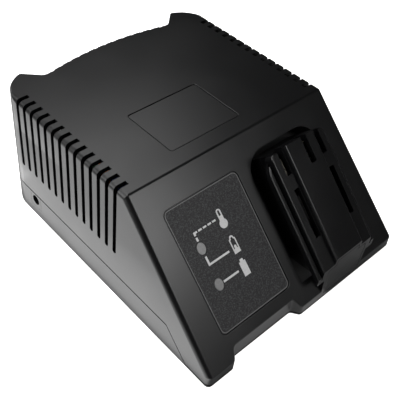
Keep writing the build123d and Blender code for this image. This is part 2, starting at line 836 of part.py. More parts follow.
with BuildPart() as battery_dock:
    with BuildSketch(slope_plane(lip_under)):
        with BuildLine():
            lead_end = lip_start + lip_lead
            Polyline(
                (dock_x + lip_half, -lead_end),
                (dock_x + lip_half, -rail_length),
                (dock_x - lip_half, -rail_length),
                (dock_x - lip_half, -lead_end),
            )
            for side in (-1, 1):
                TangentArc(
                    (dock_x + side * lip_half, -lead_end),
                    (dock_x + side * lip_lead_half, -lip_start),
                    tangent=(0, 1),
                )
            Line((dock_x - lip_lead_half, -lip_start), (dock_x + lip_lead_half, -lip_start))
        make_face()
    extrude(amount=lip_top - lip_under)
    lip_face = battery_dock.faces().sort_by(out_of_slope)[-1]
    fillet(lip_face.edges().filter_by(Axis.X, reverse=True), lip_round)
    with BuildSketch(slope_plane(lip_top - groove_depth)):
        for side in (-1, 1):
            with Locations((dock_x + side * (flange_half + groove_width / 2), -rail_length / 2)):
                Rectangle(groove_width, rail_length)
    extrude(amount=2 * groove_depth, mode=Mode.SUBTRACT)
    with BuildSketch(slope_plane(lip_under)) as flange:
        with Locations((dock_x, -(flange_start + rail_length) / 2)):
            Rectangle(2 * flange_half, rail_length - flange_start)
        fillet(flange.vertices().group_by(Axis.Y)[-1], flange_corner)
    extrude(amount=flange_height - lip_under)
    fillet(battery_dock.faces().sort_by(out_of_slope)[-1].edges(), flange_round)
    # raised plateau with leaning sides
    with BuildSketch(across_plane(plateau_start)) as plateau:
        with BuildLine():
            Polyline(
                (dock_x - plateau_half - plateau_lean, lip_under),
                (dock_x - plateau_half - plateau_lean, flange_height),
                (dock_x - plateau_half, rail_top),
                (dock_x + plateau_half, rail_top),
                (dock_x + plateau_half + plateau_lean, flange_height),
                (dock_x + plateau_half + plateau_lean, lip_under),
                close=True,
            )
        make_face()
        fillet(plateau.vertices().group_by(Axis.Y)[-1], plateau_round)
    extrude(amount=rail_length - plateau_start)
    # web down to the slope, and on down to the pocket's floor
    with BuildSketch(across_plane(flange_start)):
        with BuildLine():
            Polyline(
                (dock_x - web_half_top, lip_under),
                (dock_x - web_half, 0),
                (dock_x + web_half, 0),
                (dock_x + web_half_top, lip_under),
                close=True,
            )
        make_face()
    extrude(amount=rail_length - flange_start)
    add(web_foot.part)
    # hollow underside
    with BuildSketch(across_plane(flange_start + rail_wall)):
        with BuildLine():
            Polyline(
                (dock_x - cap_half + rail_shoulder, -pocket_depth),
                (dock_x - cap_half + rail_shoulder, flange_height - rail_roof),
                (dock_x - hollow_half, flange_height - rail_roof),
                (dock_x - hollow_half, rail_top - rail_roof),
                (dock_x + hollow_half, rail_top - rail_roof),
                (dock_x + hollow_half, flange_height - rail_roof),
                (dock_x + cap_half - rail_shoulder, flange_height - rail_roof),
                (dock_x + cap_half - rail_shoulder, -pocket_depth),
                close=True,
            )
        make_face()
    extrude(amount=rail_length, mode=Mode.SUBTRACT)
    # contact slots
    with BuildSketch(slope_plane(slot_floor)):
        for x in (left_slot_x, right_slot_x):
            for ends in (slot_upper, slot_lower):
                with Locations((dock_x + x, -(ends[0] + ends[1]) / 2)):
                    Rectangle(slot_width, ends[1] - ends[0])
    extrude(amount=flange_height - slot_floor, mode=Mode.SUBTRACT)
    with BuildSketch(slope_plane(slot_floor)):
        with Locations((dock_x + centre_slot_x, -(plateau_start + centre_slot_end) / 2)):
            Rectangle(centre_slot_width, centre_slot_end - plateau_start)
    extrude(amount=rail_top - slot_floor, mode=Mode.SUBTRACT)
    # posts for the rail screws
    with BuildSketch(slope_plane(-pocket_depth)):
        for s in rail_post_s:
            with Locations((dock_x, -s)):
                Circle(rail_post)
    extrude(amount=pocket_depth + rail_top - rail_roof + post_merge)
    with BuildSketch(slope_plane(-pocket_depth)):
        for s in rail_post_s:
            with Locations((dock_x, -s)):
                Circle(small_shank / 2 + screw_play)
    extrude(amount=rail_screw_length, mode=Mode.SUBTRACT)
    # front end, flush with the front face
    with BuildSketch(Plane.XY.offset(-height)):
        with Locations((0, front - depth / 2)):
            Rectangle(2 * width_bottom, depth)
    extrude(amount=4 * height, mode=Mode.SUBTRACT)
    add(upper_housing.part, mode=Mode.SUBTRACT)
    # seat of the end cap
    with BuildSketch(Plane.XZ.offset(-front)):
        with BuildLine():
            cap_outline(0)
        make_face()
    extrude(amount=-cap_thick, mode=Mode.SUBTRACT)
battery_dock.part.label = "battery_dock"
export_step(battery_dock.part, "parts/battery_dock.step")

# End cap of the rail, flush with the front face
with BuildPart() as dock_end_cap:
    with BuildSketch(Plane.XZ.offset(-front)):
        with BuildLine():
            cap_outline(cap_play)
        make_face()
    extrude(amount=-cap_thick)
    fillet(dock_end_cap.faces().sort_by(Axis.Y)[0].edges(), cap_round)
dock_end_cap.part.label = "dock_end_cap"
export_step(dock_end_cap.part, "parts/dock_end_cap.step")

# Contact carrier on the pocket's floor, inside the rail
with BuildPart() as contact_carrier:
    with BuildSketch(slope_plane(-pocket_depth)):
        with Locations((dock_x, -(carrier_s0 + carrier_s1) / 2)):
            Rectangle(2 * carrier_half, carrier_s1 - carrier_s0)
    extrude(amount=carrier_plate)
    for x in blade_x:
        with BuildSketch(slope_plane(-pocket_depth)):
            with Locations((dock_x + x, -blade_mid_s)):
                Rectangle(tower_width, blade_length + 2 * tower_wall)
        extrude(amount=tower_height)
    for x in blade_x:
        with BuildSketch(slope_plane(-pocket_depth)):
            with Locations((dock_x + x, -blade_mid_s)):
                Rectangle(blade_thick + 2 * blade_play, blade_length + 2 * blade_play)
        extrude(amount=tower_height, mode=Mode.SUBTRACT)
contact_carrier.part.label = "contact_carrier"
export_step(contact_carrier.part, "parts/contact_carrier.step")

# Contact blades, each with a shoulder that rests on its tower
for name, x, blade_end in zip(blade_names, blade_x, blade_tops):
    with BuildPart() as blade:
        with BuildSketch(slope_plane(-pocket_depth - blade_tail)):
            with Locations((dock_x + x, -blade_mid_s)):
                Rectangle(blade_thick, blade_length / 2)
        extrude(amount=pocket_depth + blade_tail)
        with BuildSketch(slope_plane(blade_clearance - pocket_depth)):
            with Locations((dock_x + x, -blade_mid_s)):
                Rectangle(blade_thick, blade_length)
        extrude(amount=pocket_depth - blade_clearance + blade_end)
        with BuildSketch(slope_plane(tower_height - pocket_depth)):
            with Locations((dock_x + x, -blade_mid_s)):
                Rectangle(blade_thick, blade_length + 2 * blade_shoulder)
        extrude(amount=blade_shoulder)
    blade.part.label = name
    export_step(blade.part, f"parts/{name}.step")

# Screws that hold the rail from inside
with BuildPart() as dock_screws:
    with BuildSketch(slope_plane(-pocket_depth - pocket_wall)):
        for s in rail_post_s:
            with Locations((dock_x, -s)):
                Circle(small_head / 2)
    extrude(amount=-small_head_thick)
    with BuildSketch(slope_plane(-pocket_depth - pocket_wall)):
        for s in rail_post_s:
            with Locations((dock_x, -s)):
                Circle(small_shank / 2)
    extrude(amount=rail_screw_length + pocket_wall - pilot_spare)
dock_screws.part.label = "dock_screws"
export_step(dock_screws.part, "parts/dock_screws.step")

# Labels
with BuildPart() as status_label:
    with BuildSketch(slope_plane(-label_recess)):
        with Locations(((label_x0 + label_x1) / 2, -(label_s0 + label_s1) / 2)):
            RectangleRounded(
                label_x1 - label_x0 - 2 * label_play,
                label_s1 - label_s0 - 2 * label_play,
                label_corner - label_play,
            )
        for s in window_s:
            with Locations((window_x, -s)):
                Ellipse(
                    window_wide / 2 + lens_play,
                    window_long / 2 + lens_play,
                    mode=Mode.SUBTRACT,
                )
    extrude(amount=label_film)
status_label.part.label = "status_label"
export_step(status_label.part, "parts/status_label.step")

with BuildPart() as top_label:
    with BuildSketch(Plane.XY.offset(top_z - label_recess)):
        with Locations(((plate_x0 + plate_x1) / 2, back((plate_d0 + plate_d1) / 2))):
            RectangleRounded(
                plate_x1 - plate_x0 - 2 * label_play,
                plate_d1 - plate_d0 - 2 * label_play,
                plate_corner - label_play,
            )
    extrude(amount=label_film)
top_label.part.label = "top_label"
export_step(top_label.part, "parts/top_label.step")

# Status windows and the lamps behind them
for name, s in zip(("lens_upper", "lens_lower"), window_s):
    with BuildPart() as lens:
        with BuildSketch(slope_plane(-wall)):
            with Locations((window_x, -s)):
                Ellipse(window_wide / 2, window_long / 2)
        extrude(amount=wall - label_recess + label_film)
        fillet(lens.faces().sort_by(out_of_slope)[-1].edges(), lens_round)
        with BuildSketch(slope_plane(-wall)):
            with Locations((window_x, -s)):
                Ellipse(window_wide / 2 + lens_flange, window_long / 2 + lens_flange)
        extrude(amount=-lens_flange_thick)
    lens.part.label = name
    export_step(lens.part, f"parts/{name}.step")

for name, s in zip(("lamp_upper", "lamp_lower"), window_s):
    top = -wall - lens_flange_thick - lead_gap
    with BuildPart() as lamp:
        with BuildSketch(slope_plane(-status_board_drop)):
            with Locations((window_x, -s)):
                Circle(led_rim / 2)
        extrude(amount=led_rim_thick)
        with BuildSketch(slope_plane(-status_board_drop)):
            with Locations((window_x, -s)):
                Circle(led_diameter / 2)
        extrude(amount=status_board_drop + top)
        fillet(lamp.edges().group_by(Axis.Z)[-1], led_dome)
    lamp.part.label = name
    export_step(lamp.part, f"parts/{name}.step")

with BuildPart() as status_board:
    with BuildSketch(slope_plane(-status_board_drop)):
        with Locations((window_x, -(status_board_s0 + status_board_s1) / 2)):
            Rectangle(2 * status_board_half, status_board_s1 - status_board_s0)
        for s in status_post_s:
            with Locations((window_x, -s)):
                Circle(small_shank / 2 + screw_play, mode=Mode.SUBTRACT)
    extrude(amount=-board_thick)
status_board.part.label = "status_board"
export_step(status_board.part, "parts/status_board.step")

with BuildPart() as status_board_screws:
    head_plane = slope_plane(-status_board_drop - board_thick)
    with BuildSketch(head_plane):
        for s in status_post_s:
            with Locations((window_x, -s)):
                Circle(small_head / 2)
    extrude(amount=-small_head_thick)
    with BuildSketch(head_plane):
        for s in status_post_s:
            with Locations((window_x, -s)):
                Circle(small_shank / 2)
    extrude(amount=board_thick + pilot_depth - pilot_spare)
status_board_screws.part.label = "status_board_screws"
export_step(status_board_screws.part, "parts/status_board_screws.step")

# Feet and case screws
with BuildPart() as rubber_feet:
    with BuildSketch(Plane.XY):
        with Locations(*foot_spots):
            Circle(foot_diameter / 2)
    extrude(amount=foot_stand + foot_recess)
    fillet(rubber_feet.edges().group_by(Axis.Z)[0], foot_round)
rubber_feet.part.label = "rubber_feet"
export_step(rubber_feet.part, "parts/rubber_feet.step")

with BuildPart() as case_screws:
    with BuildSketch(Plane.XY.offset(level(case_counterbore))):
        with Locations(*post_spots):
            Circle(case_head / 2)
    extrude(amount=-case_head_thick)
    with BuildSketch(Plane.XY.offset(level(case_counterbore))):
        with Locations(*post_spots):
            Circle(case_shank / 2)
    extrude(amount=case_screw_length)
    with BuildSketch(Plane.XY.offset(level(case_counterbore - case_head_thick))):
        with Locations(*post_spots):
            Rectangle(cross_width, 3 * cross_width)
            Rectangle(3 * cross_width, cross_width)
    extrude(amount=case_head_thick / 2, mode=Mode.SUBTRACT)
case_screws.part.label = "case_screws"
export_step(case_screws.part, "parts/case_screws.step")

# Inlet tabs
with BuildPart() as inlet_tabs:
    with Locations((jack_rear + tab_long / 2, back(inlet_depth), level(inlet_height))):
        with GridLocations(1, 2 * tab_spread, 1, 2):
            Box(tab_long, tab_wide, tab_thick)
inlet_tabs.part.label = "inlet_tabs"
export_step(inlet_tabs.part, "parts/inlet_tabs.step")

# Main circuit board and its screws
with BuildPart() as circuit_board:
    with BuildSketch(Plane.XY.offset(level(board_height))):
        with Locations((0, back((board_d0 + board_d1) / 2))):
            Rectangle(2 * board_x, board_d1 - board_d0)
        with Locations(*board_holes):
            Circle(small_shank / 2 + screw_play, mode=Mode.SUBTRACT)
    extrude(amount=board_thick)
circuit_board.part.label = "circuit_board"
export_step(circuit_board.part, "parts/circuit_board.step")

with BuildPart() as board_screws:
    with BuildSketch(Plane.XY.offset(level(board_top))):
        with Locations(*board_holes):
            Circle(small_head / 2)
    extrude(amount=small_head_thick)
    with BuildSketch(Plane.XY.offset(level(board_top))):
        with Locations(*board_holes):
            Circle(small_shank / 2)
    extrude(amount=pilot_spare - board_thick - pilot_depth)
board_screws.part.label = "board_screws"
export_step(board_screws.part, "parts/board_screws.step")

# Heat sink with its two power packages
sink_front = on_board(sink_d - sink_plate / 2)
with BuildPart() as heat_sink:
    with BuildSketch(Plane.XY.offset(level(board_top))):
        with Locations((sink_x, on_board(sink_d))):
            Rectangle(sink_width, sink_plate)
        with Locations((sink_x, on_board(sink_d + (sink_plate + fin_depth) / 2))):
            with GridLocations(fin_pitch, 1, fin_count, 1):
                Rectangle(fin_thick, fin_depth)
    extrude(amount=sink_height)
    with BuildSketch(Plane.XZ.offset(-sink_front)):
        for x in package_x:
            with Locations((x, level(board_top + package_lift + package_hole_height))):
                Circle(small_shank / 2 + screw_play)
    extrude(amount=-sink_plate, mode=Mode.SUBTRACT)
heat_sink.part.label = "heat_sink"
export_step(heat_sink.part, "parts/heat_sink.step")

for name, x in zip(("power_transistor", "output_rectifier"), package_x):
    base = level(board_top + package_lift)
    with BuildPart() as package:
        with BuildSketch(Plane.XZ.offset(-sink_front)):
            with Locations((x, base + tab_height / 2)):
                Rectangle(package_width, tab_height)
            with Locations((x, base + package_hole_height)):
                Circle(small_shank / 2 + screw_play, mode=Mode.SUBTRACT)
        extrude(amount=tab_plate)
        with BuildSketch(Plane.XZ.offset(-sink_front)):
            with Locations((x, base + package_body_height / 2)):
                Rectangle(package_width, package_body_height)
        extrude(amount=package_body)
        with BuildSketch(Plane.XZ.offset(-sink_front + package_body / 2)):
            with Locations((x, base - package_lift / 2)):
                with GridLocations(leg_pitch, 1, 3, 1):
                    Rectangle(leg_width, package_lift)
        extrude(amount=leg_thick)
    package.part.label = name
    export_step(package.part, f"parts/{name}.step")

with BuildPart() as package_screws:
    shank_end = pilot_spare - tab_plate - sink_plate
    for radius, reach in ((small_head / 2, small_head_thick), (small_shank / 2, shank_end)):
        with BuildSketch(Plane.XZ.offset(tab_plate - sink_front)):
            for x in package_x:
                with Locations((x, level(board_top + package_lift + package_hole_height))):
                    Circle(radius)
        extrude(amount=reach)
package_screws.part.label = "package_screws"
export_step(package_screws.part, "parts/package_screws.step")

# Choke: a ring core inside its winding
coil_spot = (coil_x, on_board(coil_d))
with BuildPart() as choke_core:
    with BuildSketch(Plane.XY.offset(level(board_top + coil_wire + coil_play))):
        with Locations(coil_spot):
            Circle(core_outer)
            Circle(core_inner, mode=Mode.SUBTRACT)
    extrude(amount=core_height)
choke_core.part.label = "choke_core"
export_step(choke_core.part, "parts/choke_core.step")

with BuildPart() as choke_winding:
    inside = (core_outer - core_inner + 2 * coil_play, core_height + 2 * coil_play)
    middle = level(board_top + coil_wire + coil_play + core_height / 2)
    with Locations((*coil_spot, middle)):
        with PolarLocations((core_outer + core_inner) / 2, coil_turns):
            Box(inside[0] + 2 * coil_wire, coil_wire, inside[1] + 2 * coil_wire)
        with PolarLocations((core_outer + core_inner) / 2, coil_turns):
            Box(inside[0], 2 * coil_wire, inside[1], mode=Mode.SUBTRACT)
choke_winding.part.label = "choke_winding"
export_step(choke_winding.part, "parts/choke_winding.step")


def make_cans(cans, name):
    """Electrolytic capacitors as rounded cans standing on the board, in one node."""
    with BuildPart() as group:
        for x, d, diameter, tall in cans:
            with BuildSketch(Plane.XY.offset(level(board_top))):
                with Locations((x, on_board(d))):
                    Circle(diameter / 2)
            extrude(amount=tall)
        fillet(group.edges().filter_by(GeomType.CIRCLE), can_round)
    group.part.label = name
    export_step(group.part, f"parts/{name}.step")


def make_boxes(boxes, name, break_edge):
    """Box-shaped parts standing on the board, in one node."""
    with BuildPart() as group:
        for x, d, wide, deep, tall in boxes:
            with BuildSketch(Plane.XY.offset(level(board_top))):
                with Locations((x, on_board(d))):
                    Rectangle(wide, deep)
            extrude(amount=tall)
        if break_edge:
            chamfer(group.edges().filter_by(Axis.Z), break_edge)
    group.part.label = name
    export_step(group.part, f"parts/{name}.step")


make_cans([input_can], "input_capacitor")
make_cans(output_cans, "output_capacitors")
make_boxes([relay_box], "relay", header_round)
make_boxes(film_boxes, "film_capacitors", header_round)
make_boxes([power_resistor_box], "power_resistor", header_round)
make_boxes(chip_boxes, "chip_components", 0)
make_boxes([input_header_box], "input_header", header_round)
make_boxes([output_header_box], "output_header", header_round)
make_boxes([status_header_box], "status_header", header_round)

with BuildPart() as control_ic:
    with Locations((ic_x, on_board(ic_d), level(board_top + ic_lift + ic_thick / 2))):
        Box(ic_length, ic_width, ic_thick)
    leg_tall = ic_lift + ic_thick / 2
    with Locations((ic_x, on_board(ic_d), level(board_top + leg_tall / 2))):
        with GridLocations(ic_pin_pitch, ic_width + leg_thick, ic_pins, 2):
            Box(leg_thick, leg_thick, leg_tall)
control_ic.part.label = "control_ic"
export_step(control_ic.part, "parts/control_ic.step")

# Fuse in its clips
with BuildPart() as fuse:
    with BuildSketch(Plane.YZ.offset(fuse_x - fuse_length / 2)):
        with Locations((on_board(fuse_d), level(board_top + fuse_lift))):
            Circle(fuse_diameter / 2)
    extrude(amount=fuse_length)
fuse.part.label = "fuse"
export_step(fuse.part, "parts/fuse.step")

with BuildPart() as fuse_clips:
    gap = fuse_diameter / 2 + lead_gap
    for side in (-1, 1):
        clip_x = fuse_x + side * (fuse_length - fuse_cap_length) / 2
        with BuildSketch(Plane.YZ.offset(clip_x - fuse_cap_length / 2)):
            with Locations((on_board(fuse_d), level(board_top + fuse_lift))):
                Circle(gap + clip_wall)
            with Locations((on_board(fuse_d), level(board_top + fuse_lift / 2))):
                Rectangle(fuse_diameter, fuse_lift)
            with Locations((on_board(fuse_d), level(board_top + fuse_lift))):
                Circle(gap, mode=Mode.SUBTRACT)
            with Locations((on_board(fuse_d), level(board_top + fuse_lift + gap))):
                Rectangle(clip_mouth, gap, mode=Mode.SUBTRACT)
        extrude(amount=fuse_cap_length)
fuse_clips.part.label = "fuse_clips"
export_step(fuse_clips.part, "parts/fuse_clips.step")


def make_wire(points, name):
    """Insulated wire along straight runs joined by the largest smooth arcs."""
    spots = [Vector(*point) for point in points]
    runs = [b - a for a, b in zip(spots, spots[1:])]
    radii = []
    for a, b in zip(runs, runs[1:]):
        turn = math.radians(a.get_angle(b))
        radii.append(wire_sweep * min(a.length, b.length) / math.tan(turn / 2))
    with BuildPart() as wire:
        with BuildLine() as path:
            FilletPolyline(*spots, radius=radii)
        with BuildSketch(Plane(origin=spots[0], z_dir=runs[0])):
            Circle(wire_radius)
        sweep(path=path.line)
    wire.part.label = name
    export_step(wire.part, f"parts/{name}.step")


# Wires from the inlet to the board
x, d, wide, deep, tall = input_header_box
for side, name in ((-1, "input_wire_negative"), (1, "input_wire_positive")):
    start_y = back(inlet_depth) + side * tab_spread
    end_y = on_board(d) + side * deep / 4
    tab_z = level(inlet_height)
    make_wire(
        [
            (jack_rear + tab_long, start_y, tab_z),
            (jack_rear + tab_long + wire_stub, start_y, tab_z),
            (x - wide / 2 - wire_stub, end_y, level(board_top + tall / 2)),
            (x - wide / 2, end_y, level(board_top + tall / 2)),
        ],
        name,
    )

# Wires from the contacts to the board
x, d, wide, deep, tall = output_header_box
for n, name in enumerate(("output_wire_positive", "output_wire_sense", "output_wire_negative")):
    tail = blade_tail + pocket_depth
    blade = dock_x + blade_x[n]
    pin = x + (n - 1) * output_pin_step
    header_z = level(board_top + tall)
    make_wire(
        [
            on_slope(blade, blade_mid_s, -tail),
            on_slope(blade, blade_mid_s, -tail - wire_drop),
            ((blade + pin) / 2, on_board(d - wire_drop), header_z + 2 * wire_rise),
            (pin, on_board(d), header_z + wire_rise),
            (pin, on_board(d), header_z),
        ],
        name,
    )

# Wires from the status board to the main board
x, d, wide, deep, tall = status_header_box
for n, name in enumerate(("status_wire_upper", "status_wire_common", "status_wire_lower")):
    side = n - 1
    depth_h = status_board_drop + board_thick
    mid_s = (window_s[0] + window_s[1]) / 2
    header_z = level(board_top + tall)
    make_wire(
        [
            on_slope(window_x + side * status_pin_step, mid_s, -depth_h),
            on_slope(window_x + side * status_pin_step, mid_s, -depth_h - wire_drop),
            (x - wire_stub + side * status_pin_step, on_board(d - 2 * wire_drop), header_z + wire_rise),
            (x + side * status_pin_step, on_board(d), header_z + wire_rise),
            (x + side * status_pin_step, on_board(d), header_z),
        ],
        name,
    )
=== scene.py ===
import math

import bpy
from mathutils import Matrix, Vector


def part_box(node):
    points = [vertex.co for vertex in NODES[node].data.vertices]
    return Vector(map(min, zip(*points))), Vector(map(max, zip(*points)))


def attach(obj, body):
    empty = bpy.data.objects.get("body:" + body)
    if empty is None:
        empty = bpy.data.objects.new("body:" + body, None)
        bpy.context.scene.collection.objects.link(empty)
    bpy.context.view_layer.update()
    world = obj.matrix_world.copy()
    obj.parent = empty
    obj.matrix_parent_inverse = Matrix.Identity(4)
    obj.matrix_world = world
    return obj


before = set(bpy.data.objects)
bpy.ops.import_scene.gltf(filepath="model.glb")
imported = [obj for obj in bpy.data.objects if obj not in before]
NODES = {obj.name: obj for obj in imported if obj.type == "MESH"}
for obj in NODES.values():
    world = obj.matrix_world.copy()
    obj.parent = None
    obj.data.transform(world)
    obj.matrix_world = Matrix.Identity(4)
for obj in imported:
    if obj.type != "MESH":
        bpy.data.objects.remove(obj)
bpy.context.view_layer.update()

bl_info = {
    "name": "Battery charger finishes",
    "version": (1, 0, 0),
    "blender": (4, 5, 0),
    "location": "3D View > Sidebar > Charger",
    "description": "Finishes, printed marks and studio for a desktop battery charger",
    "category": "Object",
}

SHELL_LOW, SHELL_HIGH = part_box("upper_housing")
FILM_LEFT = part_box("status_label")[0].x
MM = 0.001

# studio, in metres
LOOK_AT = Vector((-0.006288, -0.009103, 0.022))  # what the camera looks at
LIGHT_AT = Vector((0, 0, 0.03))  # what the softboxes face
FLOOR_RADIUS = 6.0
WALL_HEIGHT = 8.0
BOARD_LEVEL = -0.004  # under the panels
PANEL_LEVEL = -0.002  # under the lit floor
SIDES = 96  # corners of the round floor and wall

# camera: lens and sensor width in millimetres, shift in widths of the picture
LENS = 58.79
SENSOR = 36.0
SHIFT = (0.00087, 0.01184)


def linear(code):
    """Linear red, green and blue of an sRGB hex value such as "1b1b1c"."""
    values = [int(code[n:n + 2], 16) / 255 for n in (0, 2, 4)]
    return tuple(v / 12.92 if v <= 0.04045 else ((v + 0.055) / 1.055) ** 2.4 for v in values)


def length(name, default, about):
    """A length in millimetres as a property with a unit."""
    return bpy.props.FloatProperty(
        name=name, description=about, default=default * MM, unit="LENGTH", precision=5
    )


def colour(name, code, about):
    """A colour as a property, given as an sRGB hex value."""
    return bpy.props.FloatVectorProperty(
        name=name, description=about, default=linear(code), subtype="COLOR", min=0, max=1
    )


def amount(name, default, about, **kind):
    """A number from zero up as a property."""
    return bpy.props.FloatProperty(name=name, description=about, default=default, min=0, **kind)


def watts(name, default, about):
    """The power of a light as a property."""
    return amount(name, default, about, unit="POWER")


class ChargerSizes(bpy.types.PropertyGroup):
    """Sizes of the pieces that are added to the charger."""

    crease_depth: length("Crease depth", 70.2, "From the front face back to the crease")
    rim_level: length("Rim level", 9.6, "Height at which the slope meets the front face")
    film_level: length("Film level", -0.3, "Top of the label films, out of the surface round them")
    ink_height: length("Ink height", 0.03, "Thickness of the printed marks")


class ChargerColours(bpy.types.PropertyGroup):
    """Colours of the charger's finishes."""

    shell: colour("Shell", "070708", "Black ABS of the housing")
    rail: colour("Rail", "070708", "Black ABS of the battery rail")
    film: colour("Film", "171718", "Dark grey of the status film")
    fleck: colour("Fleck", "434345", "Lighter flecks in the status film")
    ink: colour("Ink", "d4d4d4", "Printed marks on the status film")
    window: colour("Window", "808080", "Status windows")


class ChargerStudio(bpy.types.PropertyGroup):
    """Camera and lights round the charger."""

    azimuth: bpy.props.FloatProperty(
        name="Azimuth",
        description="Direction that the camera looks in, from straight along the charger",
        default=math.radians(-45.45),
        subtype="ANGLE",
    )
    elevation: bpy.props.FloatProperty(
        name="Elevation",
        description="How far the camera looks down",
        default=math.radians(45.541),
        subtype="ANGLE",
    )
    roll: bpy.props.FloatProperty(
        name="Roll",
        description="Turn of the camera about its own axis",
        default=math.radians(4.563),
        subtype="ANGLE",
    )
    distance: length("Distance", 386.365, "From the camera to the point it looks at")
    floor: colour("Floor", "f4f4f4", "Plain floor under the charger")
    board: colour("Board", "989898", "Painted board under the lit floor")
    glow: amount("Glow", 1.1, "Brightness of the lit floor as the camera sees it")
    key_power: watts("Key power", 8.0, "Softbox on the left")
    rear_power: watts("Rear power", 1.35, "Softbox behind on the right")
    edge_power: watts("Edge power", 2.2, "Low softbox behind")
    front_power: watts("Front power", 2.7, "Softbox in front")
    top_power: watts("Top power", 3.9, "Softbox overhead")
    panel_power: watts("Panel power", 0.37, "Panel under the floor on the left")
    rear_panel_power: watts("Rear panel power", 0.09, "Panel under the floor behind")
    strip_power: watts("Strip power", 0.014, "Narrow panel along the left side")
    front_panel_power: watts("Front panel power", 0.008, "Panel under the floor in front")
    sky: amount("Sky", 0.03, "Strength of the even light from all round")


def add(tree, kind, inputs=None, **settings):
    """Adds one node with its settings; inputs maps a socket to a value or to a socket to link."""
    node = tree.nodes.new(kind)
    for name, value in settings.items():
        setattr(node, name, value)
    for socket, value in (inputs or {}).items():
        if isinstance(value, bpy.types.NodeSocket):
            tree.links.new(value, node.inputs[socket])
        else:
            node.inputs[socket].default_value = value
    return node


def rgba(value):
    """A colour with full alpha."""
    return (*value, 1.0)


def per_mm(size):
    """Texture scale of a pattern whose grain is size millimetres, in a frame of metres."""
    return 1 / (size * MM)


def new_material(name, tint):
    """An empty material and its tree, with a plain colour for the solid view."""
    material = bpy.data.materials.new(name)
    material.use_nodes = True
    material.diffuse_color = rgba(tint)
    material.node_tree.nodes.clear()
    return material, material.node_tree


def close(tree, shader):
    """Links a shader to the material's output."""
    add(tree, "ShaderNodeOutputMaterial", {"Surface": shader.outputs[0]})


def moulded(name, tint, roughness, grain=0.8, relief=0.004, cloud=0.05, painted_shade_reach=0.0, **extra):
    """A moulded or cast plastic: fine grain in relief, and sheen that drifts a little.

    Given a reach in mm, slots and joints about that wide get painted shade: an occlusion node takes
    their shine away, so they read as black.
    """
    material, tree = new_material(name, tint)
    place = add(tree, "ShaderNodeTexCoord").outputs["Object"]
    # real mould grain is about 0.1 mm; drawn at 0.8 mm or more, the finest that still shows
    fine = add(
        tree,
        "ShaderNodeTexNoise",
        {"Vector": place, "Scale": per_mm(grain), "Detail": 3.0, "Roughness": 0.6},
    )
    # flow of the plastic in the tool: patches about 25 mm across
    broad = add(
        tree, "ShaderNodeTexNoise", {"Vector": place, "Scale": per_mm(25.0), "Detail": 2.0}
    )
    sheen = add(
        tree,
        "ShaderNodeMapRange",
        {
            "Value": broad.outputs["Fac"],
            "From Min": 0.3,
            "From Max": 0.7,
            "To Min": roughness - cloud,
            "To Max": roughness + cloud,
        },
    )
    # a fifth darker in the pits of the grain and a quarter lighter on its peaks
    shade = add(
        tree,
        "ShaderNodeMix",
        {
            "Factor": fine.outputs["Fac"],
            "A": rgba(v * 0.8 for v in tint),
            "B": rgba(min(1, v * 1.25) for v in tint),
        },
        data_type="RGBA",
    )
    bump = add(
        tree,
        "ShaderNodeBump",
        {"Height": fine.outputs["Fac"], "Strength": 1.0, "Distance": relief * MM},
    )
    if painted_shade_reach:
        # painted shade in hollows: full shine where nine tenths of the half space are open, none
        # where under half is
        painted_shade_occlusion = add(
            tree, "ShaderNodeAmbientOcclusion", {"Distance": painted_shade_reach * MM}, samples=8, only_local=True
        )
        shine = add(
            tree,
            "ShaderNodeMapRange",
            {"Value": painted_shade_occlusion.outputs["AO"], "From Min": 0.45, "From Max": 0.9, "To Max": 0.5},
        )
        extra["Specular IOR Level"] = shine.outputs["Result"]
    shader = add(
        tree,
        "ShaderNodeBsdfPrincipled",
        {
            "Base Color": shade.outputs["Result"],
            "Roughness": sheen.outputs["Result"],
            "Normal": bump.outputs["Normal"],
            "IOR": 1.53,
            **extra,
        },
    )
    close(tree, shader)
    return material


def metal(name, tint, roughness, grain=(0.4, 0.4, 0.4), relief=0.002):
    """A bare or plated metal: grain stretched the way it was drawn, and uneven sheen."""
    material, tree = new_material(name, tint)
    place = add(tree, "ShaderNodeTexCoord").outputs["Object"]
    # real drawing lines are under 0.1 mm apart; drawn at 0.2 mm or more, so that they show
    drawn = add(
        tree, "ShaderNodeMapping", {"Vector": place, "Scale": [per_mm(size) for size in grain]}
    )
    fine = add(
        tree, "ShaderNodeTexNoise", {"Vector": drawn.outputs["Vector"], "Scale": 1.0, "Detail": 2.0}
    )
    sheen = add(
        tree,
        "ShaderNodeMapRange",
        {"Value": fine.outputs["Fac"], "To Min": roughness * 0.75, "To Max": roughness * 1.3},
    )
    bump = add(
        tree,
        "ShaderNodeBump",
        {"Height": fine.outputs["Fac"], "Strength": 1.0, "Distance": relief * MM},
    )
    shader = add(
        tree,
        "ShaderNodeBsdfPrincipled",
        {
            "Base Color": rgba(tint),
            "Metallic": 1.0,
            "Roughness": sheen.outputs["Result"],
            "Normal": bump.outputs["Normal"],
        },
    )
    close(tree, shader)
    return material


